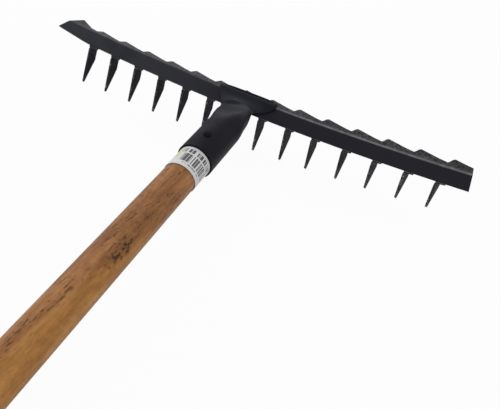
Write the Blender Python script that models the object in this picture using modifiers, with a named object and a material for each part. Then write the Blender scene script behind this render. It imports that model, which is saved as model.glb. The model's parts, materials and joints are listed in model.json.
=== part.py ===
"""Garden rake: a stamped steel head with twisted teeth, a rolled socket and a wooden handle.

Head frame: +X along the bar, -Y down the handle, +Z up, with the teeth pointing down. Its origin is the
middle of the bar's bend. At the end the whole rake is laid on the floor, on its teeth and the handle's end.
"""

import math

import bmesh
import bpy
from mathutils import Matrix, Vector

MM = 0.001

# Sheet steel of the head
SHEET = 2.0 * MM
TOOTH_COUNT = 14
TOOTH_PITCH = 27.0 * MM

# The bar's angle section, measured on its outer face from the bend
FRONT_WIDTH = 13.8 * MM
FRONT_SLOPE = math.radians(44.0)
REAR_WIDTH = 10.3 * MM
REAR_RISE = math.radians(1.7)
BEND_RADIUS = 3.0 * MM

# The bar's ends: how far each stands past the outer teeth at the front edge, and how its cut slants back,
# on the left with a steeper slant across the rear flange, whose corner is turned up
LEFT_OVERHANG = 41.5 * MM
RIGHT_OVERHANG = 20.3 * MM
LEFT_CUT = math.radians(31.0)
LEFT_REAR_CUT = math.radians(50.0)
LEFT_CORNER_RISE = 3.0 * MM
LEFT_TAPER = 3.5 * MM
RIGHT_CUT = math.radians(9.0)

# The bar's bow and winding, as reached at BOW_REACH from the middle
BOW_REACH = 189.0 * MM
BOW_UP = 10.8 * MM
BOW_TO_HANDLE = 4.7 * MM
WINDING = math.radians(15.0)

# Scallops along the rear edge
SCALLOP_PITCH = 27.25 * MM
SCALLOP_RISE = 0.14
SCALLOP_VALLEY = 4.4 * MM
SCALLOP_ROUND = 0.03

# Teeth
TOOTH_WIDTH = 9.7 * MM
TOOTH_LENGTH = 45.2 * MM
TOOTH_SHOULDER = 19.0 * MM
TOOTH_LEAN_BACK = math.radians(7.3)
TOOTH_LEAN_SIDE = math.radians(-3.7)
TOOTH_FAN = math.radians(0.7)
TOOTH_TWIST = math.radians(73.0)
TOOTH_BEND = 3.0 * MM
TWIST_START = 0.4 * MM
TWIST_LENGTH = 5.6 * MM
TWIST_STEPS = 10
TOOTH_TIP = 1.3 * MM
ROOT_WIDTH = 7.0 * MM
ROOT_FILLET = 1.1 * MM
ROOT_DEPTH = 2.5 * MM
ROOT_INSET = 0.1 * MM

# How far three of the teeth stand off the even pitch, to the right
FIRST_TOOTH_SHIFT = 1.5 * MM
TENTH_TOOTH_SHIFT = -1.6 * MM
LAST_TOOTH_SHIFT = -1.3 * MM

# Handle
HANDLE_RADIUS = 13.0 * MM
HANDLE_LENGTH = 1200.0 * MM
HANDLE_HEIGHT = 7.4 * MM
HANDLE_NOSE = 8.0 * MM
HANDLE_NOSE_RADIUS = 9.5 * MM
BUTT_ROUND = 6.0 * MM
HANDLE_SIDES = 40

# Socket
SOCKET_WALL = 1.8 * MM
SOCKET_CLEARANCE = 0.3 * MM
SOCKET_MOUTH = 113.5 * MM
SOCKET_NECK = 66.0 * MM
SOCKET_SEAM = 1.6 * MM
SOCKET_COLUMNS = 56

# The flare: the tube is pressed flat by a sloping face, and its end lies on the bar and laps over the bend
PRESS_START = 68.0 * MM
PRESS_SLOPE = math.radians(21.0)
PRESS_ROLL = math.radians(18.5)
PRESS_ROUND = 3.0 * MM
PRESS_MARGIN = 6.0 * MM
FLARE_LAP = 3.0 * MM
FLARE_DEPTH = 12.0 * MM
FLARE_ARCH = 5.0 * MM
FLARE_ARCH_END = 4.6 * MM
FLARE_LEFT = 36.8 * MM
FLARE_RIGHT = 21.5 * MM
FLARE_LEFT_TAPER = 7.6 * MM
FLARE_RIGHT_TAPER = 17.5 * MM
NECK_ROWS = 32

# Gap between pieces that touch
SEAT = 0.3 * MM

# Nail through the socket into the handle, this far in from the socket's mouth
NAIL_INSET = 17.5 * MM
NAIL_RADIUS = 1.5 * MM
NAIL_LENGTH = 20.0 * MM
NAIL_POINT = 3.0 * MM
NAIL_HEAD_RADIUS = 3.4 * MM
NAIL_HEAD_HEIGHT = 1.4 * MM
NAIL_HOLE_CLEARANCE = 0.3 * MM

# Paper label round the handle, against the socket's mouth
LABEL_WIDTH = 22.0 * MM
LABEL_THICKNESS = 0.25 * MM

# Weld bead behind the flare, on the bar's rear flange
WELD_RADIUS = 1.2 * MM
WELD_MARGIN = 3.0 * MM

STEEL = ("black_paint", (0.018, 0.019, 0.022, 1.0), 0.42, 0.0)
WELD = ("painted_weld", (0.016, 0.017, 0.019, 1.0), 0.5, 0.0)
WOOD = ("stained_wood", (0.40, 0.20, 0.085, 1.0), 0.5, 0.0)
ZINC = ("nail_steel", (0.10, 0.10, 0.11, 1.0), 0.4, 0.9)
PAPER = ("label_paper", (0.86, 0.86, 0.84, 1.0), 0.6, 0.0)


def clear_scene():
    for old in list(bpy.data.objects):
        bpy.data.objects.remove(old, do_unlink=True)


def new_collection(name):
    collection = bpy.data.collections.new(name)
    bpy.context.scene.collection.children.link(collection)
    return collection


def material(spec):
    name, colour, roughness, metallic = spec
    made = bpy.data.materials.new(name)
    made.use_nodes = True
    shader = made.node_tree.nodes["Principled BSDF"]
    shader.inputs["Base Color"].default_value = colour
    shader.inputs["Roughness"].default_value = roughness
    shader.inputs["Metallic"].default_value = metallic
    made.diffuse_color = colour
    return made


def add_object(name, mesh, collection, spec=None):
    made = bpy.data.objects.new(name, mesh)
    collection.objects.link(made)
    if spec:
        mesh.materials.append(material(spec))
    return made


def grid_mesh(name, rows):
    """A mesh of quads over equal rows of points."""
    bm = bmesh.new()
    verts = [[bm.verts.new(p) for p in row] for row in rows]
    for low, high in zip(verts, verts[1:]):
        for a, b, c, d in zip(low, low[1:], high[1:], high):
            bm.faces.new((a, b, c, d))
    mesh = bpy.data.meshes.new(name)
    bm.to_mesh(mesh)
    bm.free()
    return mesh


def smooth(obj, angle=35.0):
    obj.data.shade_smooth()
    obj.data.set_sharp_from_angle(angle=math.radians(angle))


def as_cutter(obj):
    obj.hide_render = True
    obj.display_type = "WIRE"
    return obj


def boolean(obj, other, operation):
    cut = obj.modifiers.new(operation.title(), "BOOLEAN")
    cut.operation = operation
    cut.solver = "EXACT"
    cut.object = other
    return cut


def screw(obj, sides):
    turned = obj.modifiers.new("Turned", "SCREW")
    turned.axis = "Z"
    turned.steps = sides
    turned.render_steps = sides
    turned.use_merge_vertices = True
    turned.merge_threshold = 0.00001
    return turned


def profile_mesh(name, points, closed=False):
    """A line of (radius, height) points for a Screw modifier about Z."""
    mesh = bpy.data.meshes.new(name)
    edges = [(i, i + 1) for i in range(len(points) - 1)]
    if closed:
        edges.append((len(points) - 1, 0))
    mesh.from_pydata([(r, 0.0, h) for r, h in points], edges, [])
    return mesh


def bar_frame(s):
    """The bar's own axes at length s from its middle, as a matrix: X along it, Y back, Z up."""
    bow = Vector((0.0, -BOW_TO_HANDLE, BOW_UP))
    rise = max(bow.length, 1e-9)
    side = bow / rise if bow.length > 0.0 else Vector((0.0, 0.0, 1.0))
    bend = 2.0 * rise / BOW_REACH**2
    turn = bend * s
    x_axis = Vector((1.0, 0.0, 0.0))
    place = x_axis * (math.sin(turn) / bend) + side * ((1.0 - math.cos(turn)) / bend)
    along = x_axis * math.cos(turn) + side * math.sin(turn)
    across = side * math.cos(turn) - x_axis * math.sin(turn)
    third = x_axis.cross(side)
    back = across * side.y + third * third.y
    up = across * side.z + third * third.z
    wind = WINDING * s / BOW_REACH
    wound_back = back * math.cos(wind) + up * math.sin(wind)
    wound_up = up * math.cos(wind) - back * math.sin(wind)
    frame = Matrix.Identity(4)
    for column, axis in enumerate((along, wound_back, wound_up, place)):
        frame.col[column][:3] = axis
    return frame


def front_direction():
    return Vector((0.0, -math.cos(FRONT_SLOPE), -math.sin(FRONT_SLOPE)))


def front_normal():
    return Vector((0.0, -math.sin(FRONT_SLOPE), math.cos(FRONT_SLOPE)))


def scallop_width(s):
    """The rear flange's width at length s, a saw-tooth with a short rise and a long fall."""
    def raw(position):
        phase = (position + SCALLOP_RISE) % 1.0
        if phase < SCALLOP_RISE:
            share = phase / SCALLOP_RISE
        else:
            share = 1.0 - (phase - SCALLOP_RISE) / (1.0 - SCALLOP_RISE)
        return SCALLOP_VALLEY + (REAR_WIDTH - SCALLOP_VALLEY) * share

    place = s / SCALLOP_PITCH + 0.5
    spread = (-SCALLOP_ROUND, 0.0, SCALLOP_ROUND)
    return sum(raw(place + step) for step in spread) / len(spread)


def tooth_place(index):
    return (index - (TOOTH_COUNT - 1) / 2.0) * TOOTH_PITCH


def tooth_stand(index):
    """Where a tooth stands: at its place in the even pitch, or a little aside of it."""
    shifts = {0: FIRST_TOOTH_SHIFT, 9: TENTH_TOOTH_SHIFT, TOOTH_COUNT - 1: LAST_TOOTH_SHIFT}
    return tooth_place(index) + shifts.get(index, 0.0)


def bend_reach():
    """How far the bend's rounding runs from the corner along each flange."""
    return BEND_RADIUS * math.tan((FRONT_SLOPE - REAR_RISE) / 2.0)


def face_point(depth, lift):
    """A point lift above the bar's outer face, at a depth down the front flange from the bend, or back if below 0."""
    reach = bend_reach()
    rear_way = Vector((0.0, math.cos(REAR_RISE), math.sin(REAR_RISE)))
    rear_up = Vector((0.0, -math.sin(REAR_RISE), math.cos(REAR_RISE)))
    if depth >= reach:
        return front_direction() * depth + front_normal() * lift
    if depth <= -reach:
        return rear_way * -depth + rear_up * lift
    lean = REAR_RISE + (FRONT_SLOPE - REAR_RISE) * (depth + reach) / (2.0 * reach)
    centre = rear_way * reach - rear_up * BEND_RADIUS
    return centre + Vector((0.0, -math.sin(lean), math.cos(lean))) * (BEND_RADIUS + lift)


def section_points(rear, front):
    """The outer face's section from the rear edge round the bend to the front edge, for these two widths."""
    reach = bend_reach()
    rounded = [reach * step / 2.0 for step in range(-2, 3)]
    return [face_point(depth, 0.0) for depth in [-rear] + rounded + [front]]


def left_end(from_front):
    """Where the left cut crosses the sheet, at this distance from the sheet's front edge."""
    on_front = min(from_front, FRONT_WIDTH)
    slant = on_front * math.tan(LEFT_CUT) + (from_front - on_front) * math.tan(LEFT_REAR_CUT)
    return tooth_place(0) - LEFT_OVERHANG + slant


def right_end(from_front):
    return tooth_place(TOOTH_COUNT - 1) + RIGHT_OVERHANG - from_front * math.tan(RIGHT_CUT)


def front_width(s):
    """The front flange's width at length s: it narrows from the first tooth to the left end."""
    past = (tooth_place(0) - ROOT_WIDTH - s) / (LEFT_OVERHANG - ROOT_WIDTH)
    return FRONT_WIDTH - LEFT_TAPER * min(max(past, 0.0), 1.0)


def end_row(end, rear, corner_rise):
    """The section along an end cut, as wide as rear behind the bend, with its rear corner turned up."""
    points = section_points(rear, front_width(end(0.0)))[::-1]
    distances = [0.0]
    for a, b in zip(points, points[1:]):
        distances.append(distances[-1] + (b - a).length)
    points[-1] += Vector((0.0, 0.0, corner_rise))
    row = [bar_frame(end(distance)) @ point for distance, point in zip(distances, points)]
    return row[::-1]


def bar_mesh():
    """The bar's outer face, as a grid whose first and last columns follow the slanted end cuts."""
    marks = (-SCALLOP_RISE, -0.1, -SCALLOP_ROUND, SCALLOP_ROUND, 0.31, 0.6)
    inner = []
    for scallop in range(-1, TOOTH_COUNT + 1):
        peak = (scallop - (TOOTH_COUNT - 1) / 2.0) * SCALLOP_PITCH
        inner += [peak + mark * SCALLOP_PITCH for mark in marks]
    first = left_end(FRONT_WIDTH + REAR_WIDTH)
    last = right_end(FRONT_WIDTH + REAR_WIDTH)
    spacing = SCALLOP_ROUND * SCALLOP_PITCH
    rows = [end_row(left_end, REAR_WIDTH, LEFT_CORNER_RISE)]
    for s in inner:
        if first + spacing < s < last - spacing:
            frame = bar_frame(s)
            rows.append([frame @ point for point in section_points(scallop_width(s), front_width(s))])
    rows.append(end_row(right_end, scallop_width(last), 0.0))
    return grid_mesh("bar", rows)


def eased_share(share):
    share = min(max(share, 0.0), 1.0)
    return share * share * (3.0 - 2.0 * share)


def tooth_mesh(bm, index):
    """One tooth: it turns about its front edge, which runs straight, and tapers to its tip on the rear side."""
    frame = bar_frame(tooth_stand(index))
    side_lean = TOOTH_LEAN_SIDE + TOOTH_FAN * (index - (TOOTH_COUNT - 1) / 2.0)
    hang = Vector((math.tan(side_lean), math.tan(TOOTH_LEAN_BACK), -1.0)).normalized()
    side = Vector((1.0, 0.0, 0.0))
    root = front_direction() * FRONT_WIDTH - front_normal() * SHEET / 2.0 - side * ROOT_WIDTH / 2.0
    depths = [-ROOT_DEPTH, 0.0, 0.3 * ROOT_FILLET, ROOT_FILLET]
    twisted = TWIST_START + TWIST_LENGTH
    depths += [ROOT_FILLET + (twisted - ROOT_FILLET) * k / TWIST_STEPS for k in range(1, TWIST_STEPS + 1)]
    depths += [TOOTH_SHOULDER, TOOTH_LENGTH]
    rings = []
    for depth in depths:
        bent = eased_share(depth / TOOTH_BEND)
        turned = eased_share((depth - TWIST_START) / TWIST_LENGTH)
        way = front_direction().lerp(hang, bent).normalized()
        flat = (side - way * side.dot(way)).normalized()
        face = flat.cross(way)
        angle = TOOTH_TWIST * turned
        broad = flat * math.cos(angle) + face * math.sin(angle)
        thin = face * math.cos(angle) - flat * math.sin(angle)
        front = root + hang * max(depth, 0.0) * bent + front_direction() * depth * (1.0 - bent)
        width = ROOT_WIDTH + (TOOTH_WIDTH - ROOT_WIDTH) * turned
        rounding = min(max(1.0 - depth / ROOT_FILLET, 0.0), 1.0)
        fillet = ROOT_FILLET * (1.0 - math.sqrt(1.0 - rounding**2))
        if depth > TOOTH_SHOULDER:
            share = (depth - TOOTH_SHOULDER) / (TOOTH_LENGTH - TOOTH_SHOULDER)
            width = TOOTH_WIDTH + (TOOTH_TIP - TOOTH_WIDTH) * share
        thick = thin * (SHEET / 2.0 - (ROOT_INSET if depth <= 0.0 else 0.0))
        near = front - broad * fillet
        far = front + broad * (width + fillet)
        corners = (near - thick, far - thick, far + thick, near + thick)
        rings.append([bm.verts.new(frame @ corner) for corner in corners])
    for low, high in zip(rings, rings[1:]):
        for k in range(4):
            bm.faces.new((low[k], low[(k + 1) % 4], high[(k + 1) % 4], high[k]))
    bm.faces.new(rings[0][::-1])
    bm.faces.new(rings[-1])


def build_head(parts, cutters):
    bm = bmesh.new()
    for index in range(TOOTH_COUNT):
        tooth_mesh(bm, index)
    bmesh.ops.recalc_face_normals(bm, faces=bm.faces)
    mesh = bpy.data.meshes.new("teeth")
    bm.to_mesh(mesh)
    bm.free()
    teeth = as_cutter(add_object("teeth_to_join", mesh, cutters))

    head = add_object("rake_head", bar_mesh(), parts, STEEL)
    sheet = head.modifiers.new("Sheet", "SOLIDIFY")
    sheet.thickness = SHEET
    sheet.offset = -1.0
    sheet.use_even_offset = True
    boolean(head, teeth, "UNION")
    return head, teeth


def eased_table(table, place):
    """A smooth value at a place from rows of (place, values...), level at the first and last rows."""
    if place <= table[0][0]:
        return table[0][1:]
    if place >= table[-1][0]:
        return table[-1][1:]
    at = max(i for i in range(len(table) - 1) if table[i][0] <= place)
    start, end = table[at], table[at + 1]
    before = table[at - 1] if at > 0 else start
    after = table[at + 2] if at + 2 < len(table) else end
    span = end[0] - start[0]
    t = (place - start[0]) / span
    values = []
    for k in range(1, len(start)):
        slope_in = (end[k] - before[k]) / (end[0] - before[0]) if at > 0 else 0.0
        slope_out = (after[k] - start[k]) / (after[0] - start[0])
        value = start[k] * (2 * t**3 - 3 * t**2 + 1) + end[k] * (3 * t**2 - 2 * t**3)
        value += span * (slope_in * (t**3 - 2 * t**2 + t) + slope_out * (t**3 - t**2))
        values.append(value)
    return values


def smooth_min(a, b, reach):
    share = min(max(0.5 + 0.5 * (b - a) / reach, 0.0), 1.0)
    return b + (a - b) * share - reach * share * (1.0 - share)


def flare_sides(depth):
    """The flare's left and right ends at a depth on the bar."""
    share = min(max(depth / FLARE_DEPTH, 0.0), 1.0)
    return -FLARE_LEFT + FLARE_LEFT_TAPER * share, FLARE_RIGHT - FLARE_RIGHT_TAPER * share**2


def arch_height(x, depth):
    """How far the neck still stands off the front flange, before it comes down on it."""
    left, right = flare_sides(FLARE_DEPTH)
    aside = (2.0 * x - left - right) / (right - left)
    share = (depth - FLARE_ARCH_END) / (FLARE_DEPTH - FLARE_ARCH_END)
    return FLARE_ARCH * max(share, 0.0) * max(1.0 - aside**2, 0.0)


def neck_table():
    """Rows of (y, half girth, half angle, crown height, centre x) of the socket's inner face."""
    bore = HANDLE_RADIUS + SOCKET_CLEARANCE
    open_half = math.pi - SOCKET_SEAM / bore
    crown = HANDLE_HEIGHT + bore
    left, right = flare_sides(FLARE_DEPTH)
    half = (right - left) / 2.0
    middle = (right + left) / 2.0
    foot = face_point(FLARE_DEPTH, SEAT)
    run = SOCKET_NECK + foot.y
    arch_radius = (half**2 + FLARE_ARCH**2) / (2.0 * FLARE_ARCH)
    arch_angle = math.asin(half / arch_radius)
    return (
        (-SOCKET_NECK, bore * open_half, open_half, crown, 0.0),
        (-SOCKET_NECK + 0.30 * run, 1.94 * bore, 1.89, 0.98 * crown, 0.21 * middle),
        (-SOCKET_NECK + 0.62 * run, 1.34 * bore, 1.10, 0.58 * crown, 0.53 * middle),
        (foot.y, arch_radius * arch_angle, arch_angle, foot.z + FLARE_ARCH, middle),
    )


def socket_mesh():
    table = neck_table()
    foot = face_point(FLARE_DEPTH, SEAT)
    run = SOCKET_NECK + foot.y
    bore_top = HANDLE_HEIGHT + HANDLE_RADIUS + SOCKET_CLEARANCE
    spots = [2.0 * k / SOCKET_COLUMNS - 1.0 for k in range(SOCKET_COLUMNS + 1)]
    rows = []
    start = -PRESS_START - PRESS_MARGIN
    for y in [-SOCKET_MOUTH] + [start + (foot.y - start) * k / NECK_ROWS for k in range(NECK_ROWS)]:
        girth, angle, crown, middle = eased_table(table, y)
        near_bar = max(0.0, (y + SOCKET_NECK) / run)
        row = []
        for spot in spots:
            x = middle + girth / angle * math.sin(angle * spot)
            z = crown - girth / angle * (1.0 - math.cos(angle * spot))
            pressed = bore_top + math.tan(PRESS_ROLL) * x - math.tan(PRESS_SLOPE) * (y + PRESS_START)
            if y > -SOCKET_MOUTH:
                z = smooth_min(z, pressed, PRESS_ROUND)
            wound = bar_frame(x) @ Vector((0.0, y, z))
            row.append(Vector((x, y, z)).lerp(wound, near_bar))
        rows.append(row)
    depths = [FLARE_DEPTH * (1.0 - k / 6.0) for k in range(6)]
    depths += [-FLARE_LAP * k / 4.0 for k in range(5)]
    for depth in depths:
        left, right = flare_sides(depth)
        row = []
        for spot in spots:
            x = left + (right - left) * (spot + 1.0) / 2.0
            point = face_point(depth, SEAT)
            point.z += arch_height(x, depth)
            row.append(bar_frame(x) @ point)
        rows.append(row)
    return grid_mesh("socket", rows)


def build_socket(parts, cutters):
    socket = add_object("socket", socket_mesh(), parts, STEEL)
    wall = socket.modifiers.new("Wall", "SOLIDIFY")
    wall.thickness = SOCKET_WALL
    wall.offset = 1.0
    wall.use_even_offset = True
    hole = add_cylinder("nail_hole_cutter", NAIL_RADIUS + NAIL_HOLE_CLEARANCE, NAIL_LENGTH * 2.0, cutters)
    hole.location = (0.0, -nail_place(), HANDLE_HEIGHT + HANDLE_RADIUS)
    as_cutter(hole)
    boolean(socket, hole, "DIFFERENCE")
    smooth(socket, 40.0)
    return socket, hole


def add_cylinder(name, radius, height, collection, sides=24):
    bm = bmesh.new()
    bmesh.ops.create_cone(bm, cap_ends=True, segments=sides, radius1=radius, radius2=radius, depth=height)
    mesh = bpy.data.meshes.new(name)
    bm.to_mesh(mesh)
    bm.free()
    return add_object(name, mesh, collection)


def nail_place():
    return SOCKET_MOUTH - NAIL_INSET


def handle_start():
    """How far the handle's nose stands from the bar, where the pressed face still clears it."""
    return PRESS_START + HANDLE_NOSE + SOCKET_CLEARANCE


def build_handle(parts, cutters):
    """Turned about its own axis, from the butt at height zero to the nose in the socket."""
    profile = [(0.0, 0.0), (HANDLE_RADIUS - BUTT_ROUND, 0.0)]
    steps = 6
    for step in range(1, steps + 1):
        turn = math.pi / 2.0 * step / steps
        profile.append((
            HANDLE_RADIUS - BUTT_ROUND * (1.0 - math.sin(turn)),
            BUTT_ROUND * (1.0 - math.cos(turn)),
        ))
    profile.append((HANDLE_RADIUS, HANDLE_LENGTH - HANDLE_NOSE))
    profile.append((HANDLE_NOSE_RADIUS, HANDLE_LENGTH))
    profile.append((0.0, HANDLE_LENGTH))
    handle = add_object("handle", profile_mesh("handle", profile[::-1]), parts, WOOD)
    screw(handle, HANDLE_SIDES)
    handle.rotation_euler = (-math.pi / 2.0, 0.0, 0.0)
    handle.location = (0.0, -handle_start() - HANDLE_LENGTH, HANDLE_HEIGHT)
    depth = NAIL_LENGTH - SOCKET_WALL
    pilot = add_cylinder("nail_pilot_cutter", NAIL_RADIUS + NAIL_HOLE_CLEARANCE, 2.0 * depth, cutters, 16)
    pilot.location = (0.0, -nail_place(), HANDLE_HEIGHT + HANDLE_RADIUS)
    as_cutter(pilot)
    boolean(handle, pilot, "DIFFERENCE")
    smooth(handle)
    return handle, pilot


def build_nail(parts):
    """Turned about Z, with its head on the socket and its point in the handle."""
    seat = HANDLE_HEIGHT + HANDLE_RADIUS + SOCKET_CLEARANCE + SOCKET_WALL + SEAT
    profile = []
    steps = 5
    for step in range(steps + 1):
        turn = math.pi / 2.0 * step / steps
        profile.append((NAIL_HEAD_RADIUS * math.sin(turn), NAIL_HEAD_HEIGHT * math.cos(turn)))
    profile[-1] = (NAIL_HEAD_RADIUS, 0.0)
    tip = NAIL_LENGTH - SOCKET_WALL - SOCKET_CLEARANCE - SEAT
    profile.append((NAIL_RADIUS, 0.0))
    profile.append((NAIL_RADIUS, NAIL_POINT - tip))
    profile.append((0.0, -tip))
    nail = add_object("handle_nail", profile_mesh("handle_nail", profile), parts, ZINC)
    screw(nail, 20)
    nail.location = (0.0, -nail_place(), seat)
    smooth(nail)
    return nail


def build_label(parts):
    inner = HANDLE_RADIUS + SEAT
    outer = inner + LABEL_THICKNESS
    profile = [(outer, LABEL_WIDTH), (outer, 0.0), (inner, 0.0), (inner, LABEL_WIDTH)]
    label = add_object("label_sleeve", profile_mesh("label_sleeve", profile, closed=True), parts, PAPER)
    screw(label, HANDLE_SIDES)
    label.rotation_euler = (-math.pi / 2.0, 0.0, 0.0)
    label.location = (0.0, -SOCKET_MOUTH - SEAT - LABEL_WIDTH, HANDLE_HEIGHT)
    smooth(label)
    return label


def bead_mesh(name, middle, length, y, z):
    """A spindle of weld metal along the bar, round in section and drawn in at its ends."""
    bm = bmesh.new()
    steps, sides = 12, 10
    rings = []
    for step in range(steps + 1):
        share = 2.0 * step / steps - 1.0
        frame = bar_frame(middle + share * length / 2.0)
        if abs(share) == 1.0:
            rings.append([bm.verts.new(frame @ Vector((0.0, y, z)))] * sides)
            continue
        radius = WELD_RADIUS * math.sqrt(1.0 - share**4)
        ring = []
        for side in range(sides):
            turn = 2.0 * math.pi * side / sides
            point = Vector((0.0, y + radius * math.cos(turn), z + radius * math.sin(turn)))
            ring.append(bm.verts.new(frame @ point))
        rings.append(ring)
    for low, high in zip(rings, rings[1:]):
        for k in range(sides):
            corners = (low[k], low[(k + 1) % sides], high[(k + 1) % sides], high[k])
            bm.faces.new(dict.fromkeys(corners))
    bmesh.ops.recalc_face_normals(bm, faces=bm.faces)
    mesh = bpy.data.meshes.new(name)
    bm.to_mesh(mesh)
    bm.free()
    return mesh


def build_weld(parts):
    """A long bead behind the flare's edge, on the rear flange."""
    place = face_point(-FLARE_LAP - SEAT - WELD_RADIUS, SEAT + WELD_RADIUS)
    middle = (FLARE_RIGHT - FLARE_LEFT) / 2.0
    length = FLARE_LEFT + FLARE_RIGHT - 2.0 * WELD_MARGIN
    weld = add_object("weld_rear", bead_mesh("weld_rear", middle, length, place.y, place.z), parts, WELD)
    smooth(weld)
    return weld


def world_points(objects):
    graph = bpy.context.evaluated_depsgraph_get()
    points = []
    for obj in objects:
        seen = obj.evaluated_get(graph)
        mesh = seen.to_mesh()
        points += [seen.matrix_world @ v.co for v in mesh.vertices]
        seen.to_mesh_clear()
    return points


def lay_down(stand, head, handle, everything):
    """Tips the rake about X until its teeth and its butt are level, then sets the origin under its middle."""
    bpy.context.view_layer.update()
    teeth = world_points([head])
    wood = world_points([handle])
    low, high = math.radians(-20.0), math.radians(20.0)
    for _ in range(40):
        tip = (low + high) / 2.0
        turn = Matrix.Rotation(tip, 3, "X")
        head_low = min((turn @ p).z for p in teeth)
        wood_low = min((turn @ p).z for p in wood)
        if head_low > wood_low:
            high = tip
        else:
            low = tip
    stand.rotation_euler = ((low + high) / 2.0, 0.0, 0.0)
    bpy.context.view_layer.update()
    points = world_points(everything)
    sizes = [(min(p[k] for p in points), max(p[k] for p in points)) for k in range(3)]
    stand.location = (-sum(sizes[0]) / 2.0, -sum(sizes[1]) / 2.0, -sizes[2][0])
    bpy.context.view_layer.update()


def main():
    clear_scene()
    parts = new_collection("garden_rake")
    cutters = new_collection("cutters")
    stand = bpy.data.objects.new("rake_stand", None)
    parts.objects.link(stand)
    head, teeth = build_head(parts, cutters)
    socket, hole = build_socket(parts, cutters)
    handle, pilot = build_handle(parts, cutters)
    nail = build_nail(parts)
    label = build_label(parts)
    weld = build_weld(parts)
    pieces = [head, socket, handle, nail, label, weld]
    for obj in pieces + [teeth, hole, pilot]:
        obj.parent = stand
    lay_down(stand, head, handle, pieces)


main()
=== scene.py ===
"""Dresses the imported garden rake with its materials, and sets the camera, the floor and the light."""

import json
import math

import bmesh
import bpy
from mathutils import Euler, Matrix, Vector


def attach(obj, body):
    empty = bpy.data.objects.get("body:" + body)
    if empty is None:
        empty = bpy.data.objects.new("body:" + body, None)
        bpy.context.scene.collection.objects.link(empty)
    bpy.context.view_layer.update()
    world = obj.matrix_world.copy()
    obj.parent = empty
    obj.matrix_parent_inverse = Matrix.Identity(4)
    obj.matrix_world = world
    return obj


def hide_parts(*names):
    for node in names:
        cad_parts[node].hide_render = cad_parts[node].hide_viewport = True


MM = 0.001

# The handle, the way from its upper end to the head's origin, and the height of its axis over that origin
HANDLE_LENGTH = 1200.0 * MM
HANDLE_RADIUS = 13.0 * MM
NECK = 76.3 * MM
AXIS_HEIGHT = 7.4 * MM

# The photograph's camera, in the head's own frame
CAMERA_PLACE = Vector((121.2, -356.2, 247.3)) * MM
CAMERA_TURN = tuple(math.radians(a) for a in (43.44, -5.50, 28.53))
CAMERA_LENS = 33.95
CAMERA_SENSOR = 36.0
CAMERA_SHIFT = (0.0752, -0.0026)
CAMERA_NEAR = 10.0 * MM

# How far the bar is wound about its own length, in radians for each metre from its middle
WINDING = math.radians(15.0) / (189.0 * MM)

# Where the teeth start, in the head's own frame: a height in the middle, and how it changes with x and with
# its square
TOOTH_TOP = -12.3 * MM
TOOTH_SLANT = -0.0137
TOOTH_RISE = 0.30

# A face of a tooth that looks along the bar by more than this share is one of its broad faces
BROAD_FACE = 0.6

# The copies of the CAD surfaces: corners this near are one, and edges under this angle are smooth
MERGE_REACH = 0.02 * MM
SMOOTH_ANGLE = math.radians(34.0)

# Black paint: its tones, the painted light and the dust on it, the bare steel where it is gone, and the
# most of each
PAINT_DEEP = (0.0054, 0.0056, 0.0098, 1.0)
PAINT_PALE = (0.0094, 0.0097, 0.0150, 1.0)
# Painted light: a pale tone on the front flange's left, for the light that side catches
LEFT_FLANGE_LIGHT_COLOUR = (0.100, 0.105, 0.125, 1.0)
LEFT_FLANGE_LIGHT_SHARE = 0.12
DUST_COLOUR = (0.115, 0.114, 0.112, 1.0)
DUST_SHARE = 0.80
# Painted highlight: a pale line along the bend
BEND_HIGHLIGHT_COLOUR = (0.215, 0.215, 0.222, 1.0)
BEND_HIGHLIGHT_SHARE = 0.75
# Painted light: a pale tone on the socket's pressed face
PRESSED_FACE_LIGHT_COLOUR = (0.100, 0.104, 0.125, 1.0)
PRESSED_FACE_LIGHT_SHARE = 0.20
BARE_COLOUR = (0.40, 0.40, 0.39, 1.0)

# The surface's lean about the bar, where each part of the section fades in
REAR_FLANGE = math.radians(14.0), math.radians(6.0)
BEND_FROM_REAR = math.radians(3.0), math.radians(9.0)
BEND_FROM_FRONT = math.radians(42.0), math.radians(32.0)
FRONT_FLANGE = math.radians(16.0), math.radians(30.0)

# Where painted light fades in along the bar, from its middle to the right: on the bend, on the front
# flange's left and on the socket's pressed face
BEND_HIGHLIGHT_SIDE = -90.0 * MM, 60.0 * MM
LEFT_FLANGE_LIGHT_SIDE = -10.0 * MM, -110.0 * MM
PRESSED_FACE_LIGHT_SIDE = 20.0 * MM, 0.0

# Where the painted light on the socket's pressed face fades in from the handle and from the bar, ahead of
# the bend
PRESSED_LIGHT_FROM_HANDLE = -34.0 * MM, -20.0 * MM
PRESSED_LIGHT_FROM_BAR = 2.0 * MM, -8.0 * MM

# Wood: the tones of its figure, the painted shade on its underside, and its dark marks
BROWN_TONES = (
    (0.30, (0.185, 0.078, 0.027, 1.0)), (0.45, (0.282, 0.120, 0.042, 1.0)),
    (0.58, (0.342, 0.152, 0.055, 1.0)), (0.72, (0.405, 0.190, 0.078, 1.0)),
)
GOLDEN_TONES = (
    (0.30, (0.305, 0.124, 0.032, 1.0)), (0.50, (0.410, 0.185, 0.050, 1.0)),
    (0.70, (0.490, 0.240, 0.074, 1.0)),
)
UNDERSIDE_SHADE_COLOUR = (0.160, 0.062, 0.018, 1.0)
UNDERSIDE_SHADE_FADE = 3.0 * MM, -10.0 * MM
MARK_COLOUR = (0.052, 0.020, 0.008, 1.0)

# The knot: its height up the handle, its angle from the top, where it fades out, how far its edge strays,
# and how little a distance along the handle counts in it
KNOT_HEIGHT = 1058.0 * MM
KNOT_ANGLE = math.radians(42.0)
KNOT_FADE = 5.8 * MM, 2.6 * MM
KNOT_STRAY = 9.0 * MM
KNOT_DRAWN = 0.30

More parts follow.
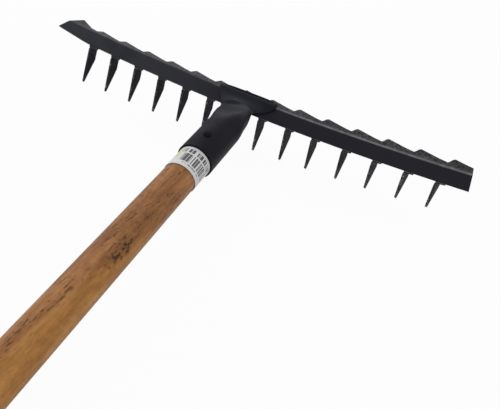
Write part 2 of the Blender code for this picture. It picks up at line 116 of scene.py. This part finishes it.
# The golden side: its edge's slant to the handle, how far the edge strays, where it fades in by the knot,
# and the share of the pores that it lacks
GOLD_SLANT = 0.10
GOLD_STRAY = 8.0 * MM
GOLD_FADE = -5.5 * MM, -12.5 * MM
GOLD_LACKS = 0.8

# How dark the pores, the knot's squiggles and the rest of the knot are
PORE_SHARE = 0.66
SQUIGGLE_SHARE = 0.92
KNOT_SHARE = 0.28

# How much of the bump comes from the paint's fine noise and from the wood's streaks
FINE_PEEL = 0.35
STREAK_RELIEF = 0.5

# The label: its upper end up the handle, its outer radius, and its paper, ink and patch
LABEL_TOP = 1162.8 * MM
LABEL_RADIUS = 13.25 * MM
PAPER_DULL = (0.58, 0.58, 0.585, 1.0)
PAPER_WHITE = (0.70, 0.70, 0.70, 1.0)
INK_COLOUR = (0.035, 0.035, 0.040, 1.0)
INK_SHARE = 0.94
PATCH_COLOUR = (0.55, 0.60, 0.25, 1.0)
PATCH_SHARE = 0.85

# What the label carries, in mm: its reach down from the label's upper end, and round from its top. A row is
# made of strokes one step wide, each drawn or left blank at random.
BARS = {"down_reach": (8.4, 17.4), "round_reach": (-4.5, 22.0), "step": 0.36, "blank": 0.36, "seed": 11.0}
DASHES = {"down_reach": (2.8, 7.2), "round_reach": (-8.0, 22.0), "step": 0.55, "blank": 0.32, "seed": 33.0}
FINE = {"down_reach": (18.6, 19.6), "round_reach": (-2.0, 18.0), "step": 0.30, "blank": 0.45, "seed": 58.0}
PATCH_REACHES = (4.5, 13.5), (-15.0, -6.5)

# The stage: half the floor's width, its tones, how white the camera sees it, and the sky's strength
WHITE = (1.0, 1.0, 1.0, 1.0)
FLOOR_HALF = 6.0
FLOOR_DULL = (0.80, 0.80, 0.80, 1.0)
FLOOR_PALE = (0.82, 0.82, 0.82, 1.0)
FLOOR_WHITENESS = 0.93
SKY_STRENGTH = 0.8

# Each light's name, place, size in metres and power in watts; they all aim at the head
LIGHTS = (
    ("back_softbox", (-1.2, 2.1, 1.5), (2.0, 1.4), 9.0),
    ("left_softbox", (-2.0, 0.3, 1.0), (1.4, 1.4), 7.0),
)
LIGHT_AIM = Vector((0.0, 0.6, 0.05))

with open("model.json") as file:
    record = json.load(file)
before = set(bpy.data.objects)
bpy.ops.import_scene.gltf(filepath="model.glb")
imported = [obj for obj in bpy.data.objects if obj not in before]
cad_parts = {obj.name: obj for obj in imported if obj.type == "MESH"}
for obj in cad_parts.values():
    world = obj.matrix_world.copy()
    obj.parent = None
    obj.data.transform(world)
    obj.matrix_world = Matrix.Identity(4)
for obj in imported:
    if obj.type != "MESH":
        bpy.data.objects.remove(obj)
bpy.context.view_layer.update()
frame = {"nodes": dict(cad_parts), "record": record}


def head_frame():
    """The head's axes in the world: +X along the bar, +Y away from the handle, the origin on the bend."""
    butt = next(m for m in frame["record"]["mounts"] if m["name"] == "butt_end")
    along = -Vector(butt["axis"]).normalized()
    across = Vector((1.0, 0.0, 0.0))
    up = across.cross(along)
    place = Vector(butt["pos_m"]) + along * (HANDLE_LENGTH + NECK) - up * AXIS_HEIGHT
    axes = Matrix((across, along, up)).transposed().to_4x4()
    return Matrix.Translation(place) @ axes


def handle_frame():
    """Local +Z runs up the handle from the centre of its butt, and local +Y is its upper side."""
    turn = Matrix.Rotation(math.radians(-90.0), 4, "X")
    start = Vector((0.0, -NECK - HANDLE_LENGTH, AXIS_HEIGHT))
    flip = Matrix.Rotation(math.radians(180.0), 4, "Z")
    return HEAD @ Matrix.Translation(start) @ turn @ flip


HEAD = head_frame()
HANDLE = handle_frame()
BAR_AXIS, AHEAD_AXIS, UP_AXIS = (tuple(HEAD.col[k][:3]) for k in range(3))


def feed(tree, socket, value):
    """Links a value that comes out of a node, and sets one that is a number or a colour."""
    if isinstance(value, bpy.types.NodeSocket):
        tree.links.new(value, socket)
    else:
        socket.default_value = value


def add_node(tree, kind, inputs=None, **settings):
    """A new node with the given settings, and its inputs linked or set."""
    made = tree.nodes.new(kind)
    for name, value in settings.items():
        setattr(made, name, value)
    for name, value in (inputs or {}).items():
        feed(tree, made.inputs[name], value)
    return made


def new_material(name, **values):
    """A material, its nodes, its Principled BSDF with the given values, and the object's own places."""
    made = bpy.data.materials.new(name)
    made.use_nodes = True
    tree = made.node_tree
    shader = tree.nodes["Principled BSDF"]
    for key, value in values.items():
        shader.inputs[key.replace("_", " ")].default_value = value
    place = add_node(tree, "ShaderNodeTexCoord").outputs["Object"]
    return made, tree, shader, place


def split(tree, place):
    """The X, Y and Z of a place."""
    return add_node(tree, "ShaderNodeSeparateXYZ", {"Vector": place}).outputs


def math_node(tree, operation, *values):
    return add_node(tree, "ShaderNodeMath", dict(enumerate(values)), operation=operation).outputs[0]


def product(tree, value, *others):
    """All the values multiplied together."""
    for other in others:
        value = math_node(tree, "MULTIPLY", value, other)
    return value


def vector_node(tree, operation, *values):
    made = add_node(tree, "ShaderNodeVectorMath", dict(enumerate(values)), operation=operation)
    return made.outputs["Value" if operation in ("DOT_PRODUCT", "LENGTH") else "Vector"]


def mix_colour(tree, factor, first, second, blend="MIX"):
    inputs = {0: factor, 6: first, 7: second}
    return add_node(tree, "ShaderNodeMix", inputs, data_type="RGBA", blend_type=blend).outputs[2]


def noise_node(tree, vector, scale, detail=2.0, roughness=0.5):
    inputs = {"Vector": vector, "Scale": scale, "Detail": detail, "Roughness": roughness}
    return add_node(tree, "ShaderNodeTexNoise", inputs).outputs["Fac"]


def smooth_range(tree, value, low, high):
    """0 up to low and 1 from high on, or the other way round when high is the lower."""
    inputs = {"Value": value, "From Min": low, "From Max": high}
    return add_node(tree, "ShaderNodeMapRange", inputs, interpolation_type="SMOOTHSTEP").outputs[0]


def ramp(tree, factor, stops):
    """A colour that runs through the stops as the factor grows, each with its position and its colour."""
    made = add_node(tree, "ShaderNodeValToRGB", {"Fac": factor})
    elements = made.color_ramp.elements
    while len(elements) < len(stops):
        elements.new(0.5)
    for element, (position, colour) in zip(elements, stops):
        element.position = position
        element.color = colour
    return made.outputs["Color"]


def grey_ramp(tree, factor, low, high, least=0.0, most=1.0):
    """A grey that goes from least to most as the factor goes from low to high."""
    return ramp(tree, factor, ((low, (least, least, least, 1.0)), (high, (most, most, most, 1.0))))


def finish_surface(tree, shader, colour, relief, strength, depth):
    """Gives the shader its colour, and a bump from the relief."""
    tree.links.new(colour, shader.inputs["Base Color"])
    bump = add_node(tree, "ShaderNodeBump", {"Strength": strength, "Distance": depth, "Height": relief})
    tree.links.new(bump.outputs["Normal"], shader.inputs["Normal"])


def head_part(tree, place, axis):
    """How far a place lies along one of the head's axes, from the middle of the bar's bend."""
    away = vector_node(tree, "SUBTRACT", place, tuple(HEAD.translation))
    return vector_node(tree, "DOT_PRODUCT", away, axis)


def section_lean(tree, side):
    """The surface's lean about the bar, less its winding: near 0 behind the bend, 44 degrees in front."""
    normal = add_node(tree, "ShaderNodeNewGeometry").outputs["Normal"]
    ahead = vector_node(tree, "DOT_PRODUCT", normal, AHEAD_AXIS)
    up = vector_node(tree, "DOT_PRODUCT", normal, UP_AXIS)
    lean = math_node(tree, "ARCTAN2", math_node(tree, "MULTIPLY", ahead, -1.0), up)
    return math_node(tree, "SUBTRACT", lean, math_node(tree, "MULTIPLY", side, WINDING))


def dust_and_painted_light(tree, place, broad, colour):
    """Adds painted light on the front flange's left, dust behind the bend, and a painted highlight along
    the bend on the right.
    """
    side = head_part(tree, place, BAR_AXIS)
    lean = section_lean(tree, side)
    # Painted light: the front flange's left is made paler, for the light it catches
    left_flange_light = product(
        tree, smooth_range(tree, side, *LEFT_FLANGE_LIGHT_SIDE), smooth_range(tree, broad, 0.2, 0.6),
        smooth_range(tree, lean, *FRONT_FLANGE), LEFT_FLANGE_LIGHT_SHARE,
    )
    grit = grey_ramp(tree, noise_node(tree, place, scale=420.0, detail=4.0, roughness=0.7), 0.42, 0.66)
    drifts = grey_ramp(tree, noise_node(tree, place, scale=60.0, detail=3.0), 0.30, 0.65, least=0.35)
    dust = product(tree, grit, drifts, smooth_range(tree, lean, *REAR_FLANGE), DUST_SHARE)
    # Painted highlight: a pale line along the bend, stronger to the right and broken up by noise
    ridge = product(
        tree, smooth_range(tree, lean, *BEND_FROM_REAR), smooth_range(tree, lean, *BEND_FROM_FRONT),
        smooth_range(tree, side, *BEND_HIGHLIGHT_SIDE),
    )
    highlight_breaks = noise_node(tree, place, scale=180.0, detail=3.0, roughness=0.6)
    bend_highlight = product(tree, ridge, grey_ramp(tree, highlight_breaks, 0.30, 0.60, least=0.45), BEND_HIGHLIGHT_SHARE)
    colour = mix_colour(tree, left_flange_light, colour, LEFT_FLANGE_LIGHT_COLOUR)
    colour = mix_colour(tree, dust, colour, DUST_COLOUR)
    return mix_colour(tree, bend_highlight, colour, BEND_HIGHLIGHT_COLOUR)


def pressed_face_light(tree, place, broad, colour):
    """Adds painted light on the socket's pressed face, left of its middle: a pale tone that stands for the
    light on that face.
    """
    ahead = head_part(tree, place, AHEAD_AXIS)
    side = head_part(tree, place, BAR_AXIS)
    # Painted light: the pressed face is made paler, for the light that falls on it
    pressed_light = product(
        tree, smooth_range(tree, ahead, *PRESSED_LIGHT_FROM_HANDLE), smooth_range(tree, ahead, *PRESSED_LIGHT_FROM_BAR),
        smooth_range(tree, side, *PRESSED_FACE_LIGHT_SIDE), smooth_range(tree, broad, 0.2, 0.5), PRESSED_FACE_LIGHT_SHARE,
    )
    return mix_colour(tree, pressed_light, colour, PRESSED_FACE_LIGHT_COLOUR)


def specked(tree, place, wear, colour):
    """Adds specks of bare steel, crowded in patches."""
    grain = noise_node(tree, place, scale=520.0, detail=3.0, roughness=0.65)
    patches = grey_ramp(tree, noise_node(tree, place, scale=55.0), 0.42, 0.60)
    bare = product(tree, grey_ramp(tree, grain, 0.50, 0.60), patches, wear)
    return mix_colour(tree, bare, colour, BARE_COLOUR)


def painted_steel(name, rough=(0.40, 0.54), layer=None, wear=0.0, **values):
    """Black paint over pressed sheet, with orange peel, uneven gloss, a layer from the caller with painted
    light (and dust, on the head), and wear.
    """
    made, tree, shader, place = new_material(name, IOR=1.5, **values)
    broad = noise_node(tree, place, scale=34.0, detail=3.0)
    fine = noise_node(tree, place, scale=850.0, roughness=0.6)
    colour = mix_colour(tree, broad, PAINT_DEEP, PAINT_PALE)
    if layer:
        colour = layer(tree, place, broad, colour)
    if wear:
        colour = specked(tree, place, wear, colour)
    gloss = grey_ramp(tree, noise_node(tree, place, scale=60.0, detail=4.0), 0.3, 0.7, *rough)
    tree.links.new(gloss, shader.inputs["Roughness"])
    peel = math_node(tree, "MULTIPLY_ADD", fine, FINE_PEEL, broad)
    finish_surface(tree, shader, colour, peel, strength=0.3, depth=0.4 * MM)
    return made


def grain(tree, place, slant, along, **noise):
    """A noise that is drawn out along local Z, with its rows at a slight slant to the handle."""
    parts = split(tree, place)
    aside = math_node(tree, "MULTIPLY_ADD", parts["Z"], slant, parts["X"])
    drawn = math_node(tree, "MULTIPLY", parts["Z"], along)
    sheared = add_node(tree, "ShaderNodeCombineXYZ", {"X": aside, "Y": parts["Y"], "Z": drawn})
    return noise_node(tree, sheared.outputs[0], **noise)


def knot_mask(tree, place, stray):
    """1 in the knot, fading to 0 at its ragged edge."""
    centre = (-HANDLE_RADIUS * math.sin(KNOT_ANGLE), HANDLE_RADIUS * math.cos(KNOT_ANGLE), KNOT_HEIGHT)
    away = vector_node(tree, "SUBTRACT", place, centre)
    distance = vector_node(tree, "LENGTH", vector_node(tree, "MULTIPLY", away, (1.0, 1.0, KNOT_DRAWN)))
    ragged = math_node(tree, "MULTIPLY_ADD", stray, KNOT_STRAY, distance)
    return smooth_range(tree, ragged, *KNOT_FADE)


def varnished_wood():
    """Brown hardwood along local Z: broad figure, a golden side, rows of dark pores, one dark knot, and
    painted shade on its underside.
    """
    made, tree, shader, place = new_material(
        "varnished_wood", Roughness=0.50, IOR=1.45, Specular_IOR_Level=0.16,
    )
    parts = split(tree, place)
    figure = grain(tree, place, slant=0.06, along=0.22, scale=95.0, detail=4.0, roughness=0.6)
    streaks = grain(tree, place, slant=0.08, along=0.07, scale=520.0, detail=3.0, roughness=0.6)
    flecks = noise_node(tree, place, scale=190.0, detail=4.0, roughness=0.7)
    stray = math_node(tree, "SUBTRACT", flecks, 0.5)

    side = math_node(tree, "MULTIPLY_ADD", parts["Z"], GOLD_SLANT, parts["X"])
    side = math_node(tree, "MULTIPLY_ADD", stray, GOLD_STRAY, side)
    towards_gold = smooth_range(tree, side, *(KNOT_HEIGHT * GOLD_SLANT + edge for edge in GOLD_FADE))
    brown = ramp(tree, figure, BROWN_TONES)
    base = mix_colour(tree, towards_gold, brown, ramp(tree, figure, GOLDEN_TONES))
    for shade in (
        grey_ramp(tree, streaks, 0.30, 0.65, least=0.82, most=1.08),
        grey_ramp(tree, flecks, 0.32, 0.62, least=0.80, most=1.05),
    ):
        base = mix_colour(tree, 1.0, base, shade, "MULTIPLY")
    # Painted shade: the handle's underside is darkened, for the shade that falls there
    base = mix_colour(tree, smooth_range(tree, parts["Y"], *UNDERSIDE_SHADE_FADE), base, UNDERSIDE_SHADE_COLOUR)

    near_knot = knot_mask(tree, place, stray)
    pores = grain(tree, place, slant=0.10, along=0.26, scale=900.0)
    squiggles = grain(tree, place, slant=0.30, along=0.55, scale=520.0, roughness=0.6)
    rows = grey_ramp(tree, grain(tree, place, slant=0.10, along=0.25, scale=130.0), 0.38, 0.54)
    fewer_in_gold = math_node(tree, "MULTIPLY_ADD", towards_gold, -GOLD_LACKS, 1.0)
    marks = product(tree, smooth_range(tree, pores, 0.55, 0.63), rows, fewer_in_gold)
    burl = product(tree, smooth_range(tree, squiggles, 0.46, 0.56), near_knot, SQUIGGLE_SHARE)
    dark = math_node(tree, "MAXIMUM", math_node(tree, "MULTIPLY", marks, PORE_SHARE), burl)
    dark = math_node(tree, "MAXIMUM", dark, math_node(tree, "MULTIPLY", near_knot, KNOT_SHARE))
    colour = mix_colour(tree, dark, base, MARK_COLOUR)
    relief = math_node(tree, "SUBTRACT", math_node(tree, "MULTIPLY", streaks, STREAK_RELIEF), marks)
    finish_surface(tree, shader, colour, relief, strength=0.45, depth=0.3 * MM)
    return made


def label_paper():
    """Matt white paper round local Z, with plain bars, two rows of plain dashes and one pale patch."""
    made, tree, shader, place = new_material("label_paper", Roughness=0.6)
    parts = split(tree, place)
    turn = math_node(tree, "ARCTAN2", parts["X"], parts["Y"])
    round_it = math_node(tree, "MULTIPLY", turn, -LABEL_RADIUS / MM)
    down = math_node(tree, "MULTIPLY", math_node(tree, "SUBTRACT", LABEL_TOP, parts["Z"]), 1.0 / MM)

    def within(down_reach, round_reach):
        """1 inside both reaches and 0 outside either."""
        sides = []
        for value, (low, high) in ((down, down_reach), (round_it, round_reach)):
            sides += math_node(tree, "GREATER_THAN", value, low), math_node(tree, "LESS_THAN", value, high)
        return product(tree, *sides)

    def strokes(down_reach, round_reach, step, blank, seed):
        """1 on the drawn strokes of a row, and 0 elsewhere."""
        cell = math_node(tree, "FLOOR", math_node(tree, "DIVIDE", round_it, step))
        draw = add_node(tree, "ShaderNodeTexWhiteNoise", noise_dimensions="1D")
        tree.links.new(math_node(tree, "ADD", cell, seed), draw.inputs["W"])
        drawn = math_node(tree, "GREATER_THAN", draw.outputs["Value"], blank)
        return product(tree, drawn, within(down_reach, round_reach))

    ink = math_node(tree, "MAXIMUM", strokes(**BARS), strokes(**DASHES))
    ink = math_node(tree, "MAXIMUM", ink, strokes(**FINE))
    fibres = noise_node(tree, place, scale=700.0, detail=3.0)
    patch = product(tree, within(*PATCH_REACHES), PATCH_SHARE)
    paper = mix_colour(tree, patch, mix_colour(tree, fibres, PAPER_DULL, PAPER_WHITE), PATCH_COLOUR)
    colour = mix_colour(tree, math_node(tree, "MULTIPLY", ink, INK_SHARE), paper, INK_COLOUR)
    finish_surface(tree, shader, colour, fibres, strength=0.2, depth=0.1 * MM)
    return made


def seen_directly(tree):
    """1 for rays from the camera, reflections and refractions, so that these see a white background."""
    path = add_node(tree, "ShaderNodeLightPath").outputs
    glossy = math_node(tree, "MAXIMUM", path["Is Glossy Ray"], path["Is Transmission Ray"])
    return math_node(tree, "MAXIMUM", path["Is Camera Ray"], glossy)


def pale_floor():
    """A pale floor that the camera sees as nearly white, with only a trace of shadow."""
    made, tree, shader, place = new_material("pale_floor", Roughness=0.9)
    grain = noise_node(tree, place, scale=40.0, detail=3.0)
    tree.links.new(mix_colour(tree, grain, FLOOR_DULL, FLOOR_PALE), shader.inputs["Base Color"])
    white = add_node(tree, "ShaderNodeEmission", {"Color": WHITE, "Strength": 1.0})
    share = math_node(tree, "MULTIPLY", seen_directly(tree), FLOOR_WHITENESS)
    mixed = add_node(tree, "ShaderNodeMixShader", {0: share, 1: shader.outputs[0], 2: white.outputs[0]})
    tree.links.new(mixed.outputs[0], tree.nodes["Material Output"].inputs["Surface"])
    return made


def joined_copy(node):
    """A copy of a CAD node's surface with joined corners and no flat normals, so that it can be smooth."""
    mesh = frame["nodes"][node].data.copy()
    mesh.attributes.remove(mesh.attributes["custom_normal"])
    bm = bmesh.new()
    bm.from_mesh(mesh)
    bmesh.ops.remove_doubles(bm, verts=bm.verts, dist=MERGE_REACH)
    bm.to_mesh(mesh)
    bm.free()
    return mesh


def dress(node, material):
    """Puts a smooth copy with its own material in the place of a CAD node."""
    piece = bpy.data.objects.new(node + "_dressed", joined_copy(node))
    bpy.context.scene.collection.objects.link(piece)
    piece.data.materials.clear()
    piece.data.materials.append(material)
    piece.data.shade_smooth()
    piece.data.set_sharp_from_angle(angle=SMOOTH_ANGLE)
    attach(piece, "root")
    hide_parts(node)
    return piece


def mark_teeth(mesh):
    """Gives the second material to the teeth, the faces below the bar, and the third to their cut sides."""
    turned = HEAD.inverted()
    for face in mesh.polygons:
        middle = turned @ face.center
        if middle.z > TOOTH_TOP + TOOTH_SLANT * middle.x + TOOTH_RISE * middle.x**2:
            continue
        sideways = abs((turned.to_3x3() @ face.normal).x)
        face.material_index = 1 if sideways > BROAD_FACE else 2


def dress_rake():
    """Dresses all six nodes; the handle and the label get their own frame, which their materials follow."""
    # The socket's paint carries painted light, and the head's paint carries dust, painted light and a
    # painted highlight
    steel = painted_steel("painted_steel", rough=(0.46, 0.60), layer=pressed_face_light, Specular_IOR_Level=0.08)
    dust_and_sheen = painted_steel("dust_and_sheen_paint", layer=dust_and_painted_light, Specular_IOR_Level=0.17)
    teeth = painted_steel("tooth_paint", rough=(0.72, 0.86), wear=0.07, Specular_IOR_Level=0.17)
    worn = painted_steel("worn_paint", rough=(0.50, 0.70), wear=0.7, Specular_IOR_Level=0.12)
    nail = painted_steel("nail_paint", rough=(0.60, 0.75), Specular_IOR_Level=0.06)
    wood = varnished_wood()
    paper = label_paper()

    head = dress("rake_head", dust_and_sheen)
    head.data.materials.append(teeth)
    head.data.materials.append(worn)
    mark_teeth(head.data)
    dress("socket", steel)
    dress("handle_nail", nail)
    dress("weld_rear", steel)
    for piece in (dress("handle", wood), dress("label_sleeve", paper)):
        piece.data.transform(HANDLE.inverted())
        piece.matrix_world = HANDLE


def add_floor():
    bm = bmesh.new()
    bmesh.ops.create_grid(bm, x_segments=4, y_segments=4, size=FLOOR_HALF)
    mesh = bpy.data.meshes.new("floor")
    bm.to_mesh(mesh)
    bm.free()
    floor = bpy.data.objects.new("floor", mesh)
    bpy.context.scene.collection.objects.link(floor)
    floor.data.materials.append(pale_floor())


def add_light(name, place, size, power):
    data = bpy.data.lights.new(name, "AREA")
    data.shape = "RECTANGLE"
    data.size, data.size_y = size
    data.energy = power
    light = bpy.data.objects.new(name, data)
    bpy.context.scene.collection.objects.link(light)
    light.location = place
    light.rotation_euler = (LIGHT_AIM - Vector(place)).to_track_quat("-Z", "Y").to_euler()


def add_world():
    """A soft white sky for the light, and pure white where the camera or a reflection sees it."""
    world = bpy.data.worlds.new("studio")
    bpy.context.scene.world = world
    world.use_nodes = True
    tree = world.node_tree
    soft = tree.nodes["Background"]
    soft.inputs["Color"].default_value = WHITE
    soft.inputs["Strength"].default_value = SKY_STRENGTH
    white = add_node(tree, "ShaderNodeBackground", {"Color": WHITE, "Strength": 1.0})
    seen = seen_directly(tree)
    mixed = add_node(tree, "ShaderNodeMixShader", {0: seen, 1: soft.outputs[0], 2: white.outputs[0]})
    tree.links.new(mixed.outputs[0], tree.nodes["World Output"].inputs["Surface"])


def add_camera():
    data = bpy.data.cameras.new("camera")
    data.lens = CAMERA_LENS
    data.sensor_width = CAMERA_SENSOR
    data.shift_x, data.shift_y = CAMERA_SHIFT
    data.clip_start = CAMERA_NEAR
    camera = bpy.data.objects.new("camera", data)
    bpy.context.scene.collection.objects.link(camera)
    turn = Euler(CAMERA_TURN).to_matrix().to_4x4()
    camera.matrix_world = HEAD @ Matrix.Translation(CAMERA_PLACE) @ turn
    bpy.context.scene.camera = camera


dress_rake()
add_floor()
for light in LIGHTS:
    add_light(*light)
add_world()
add_camera()
bpy.context.scene.view_settings.view_transform = "Standard"
bpy.context.scene.view_settings.look = "None"
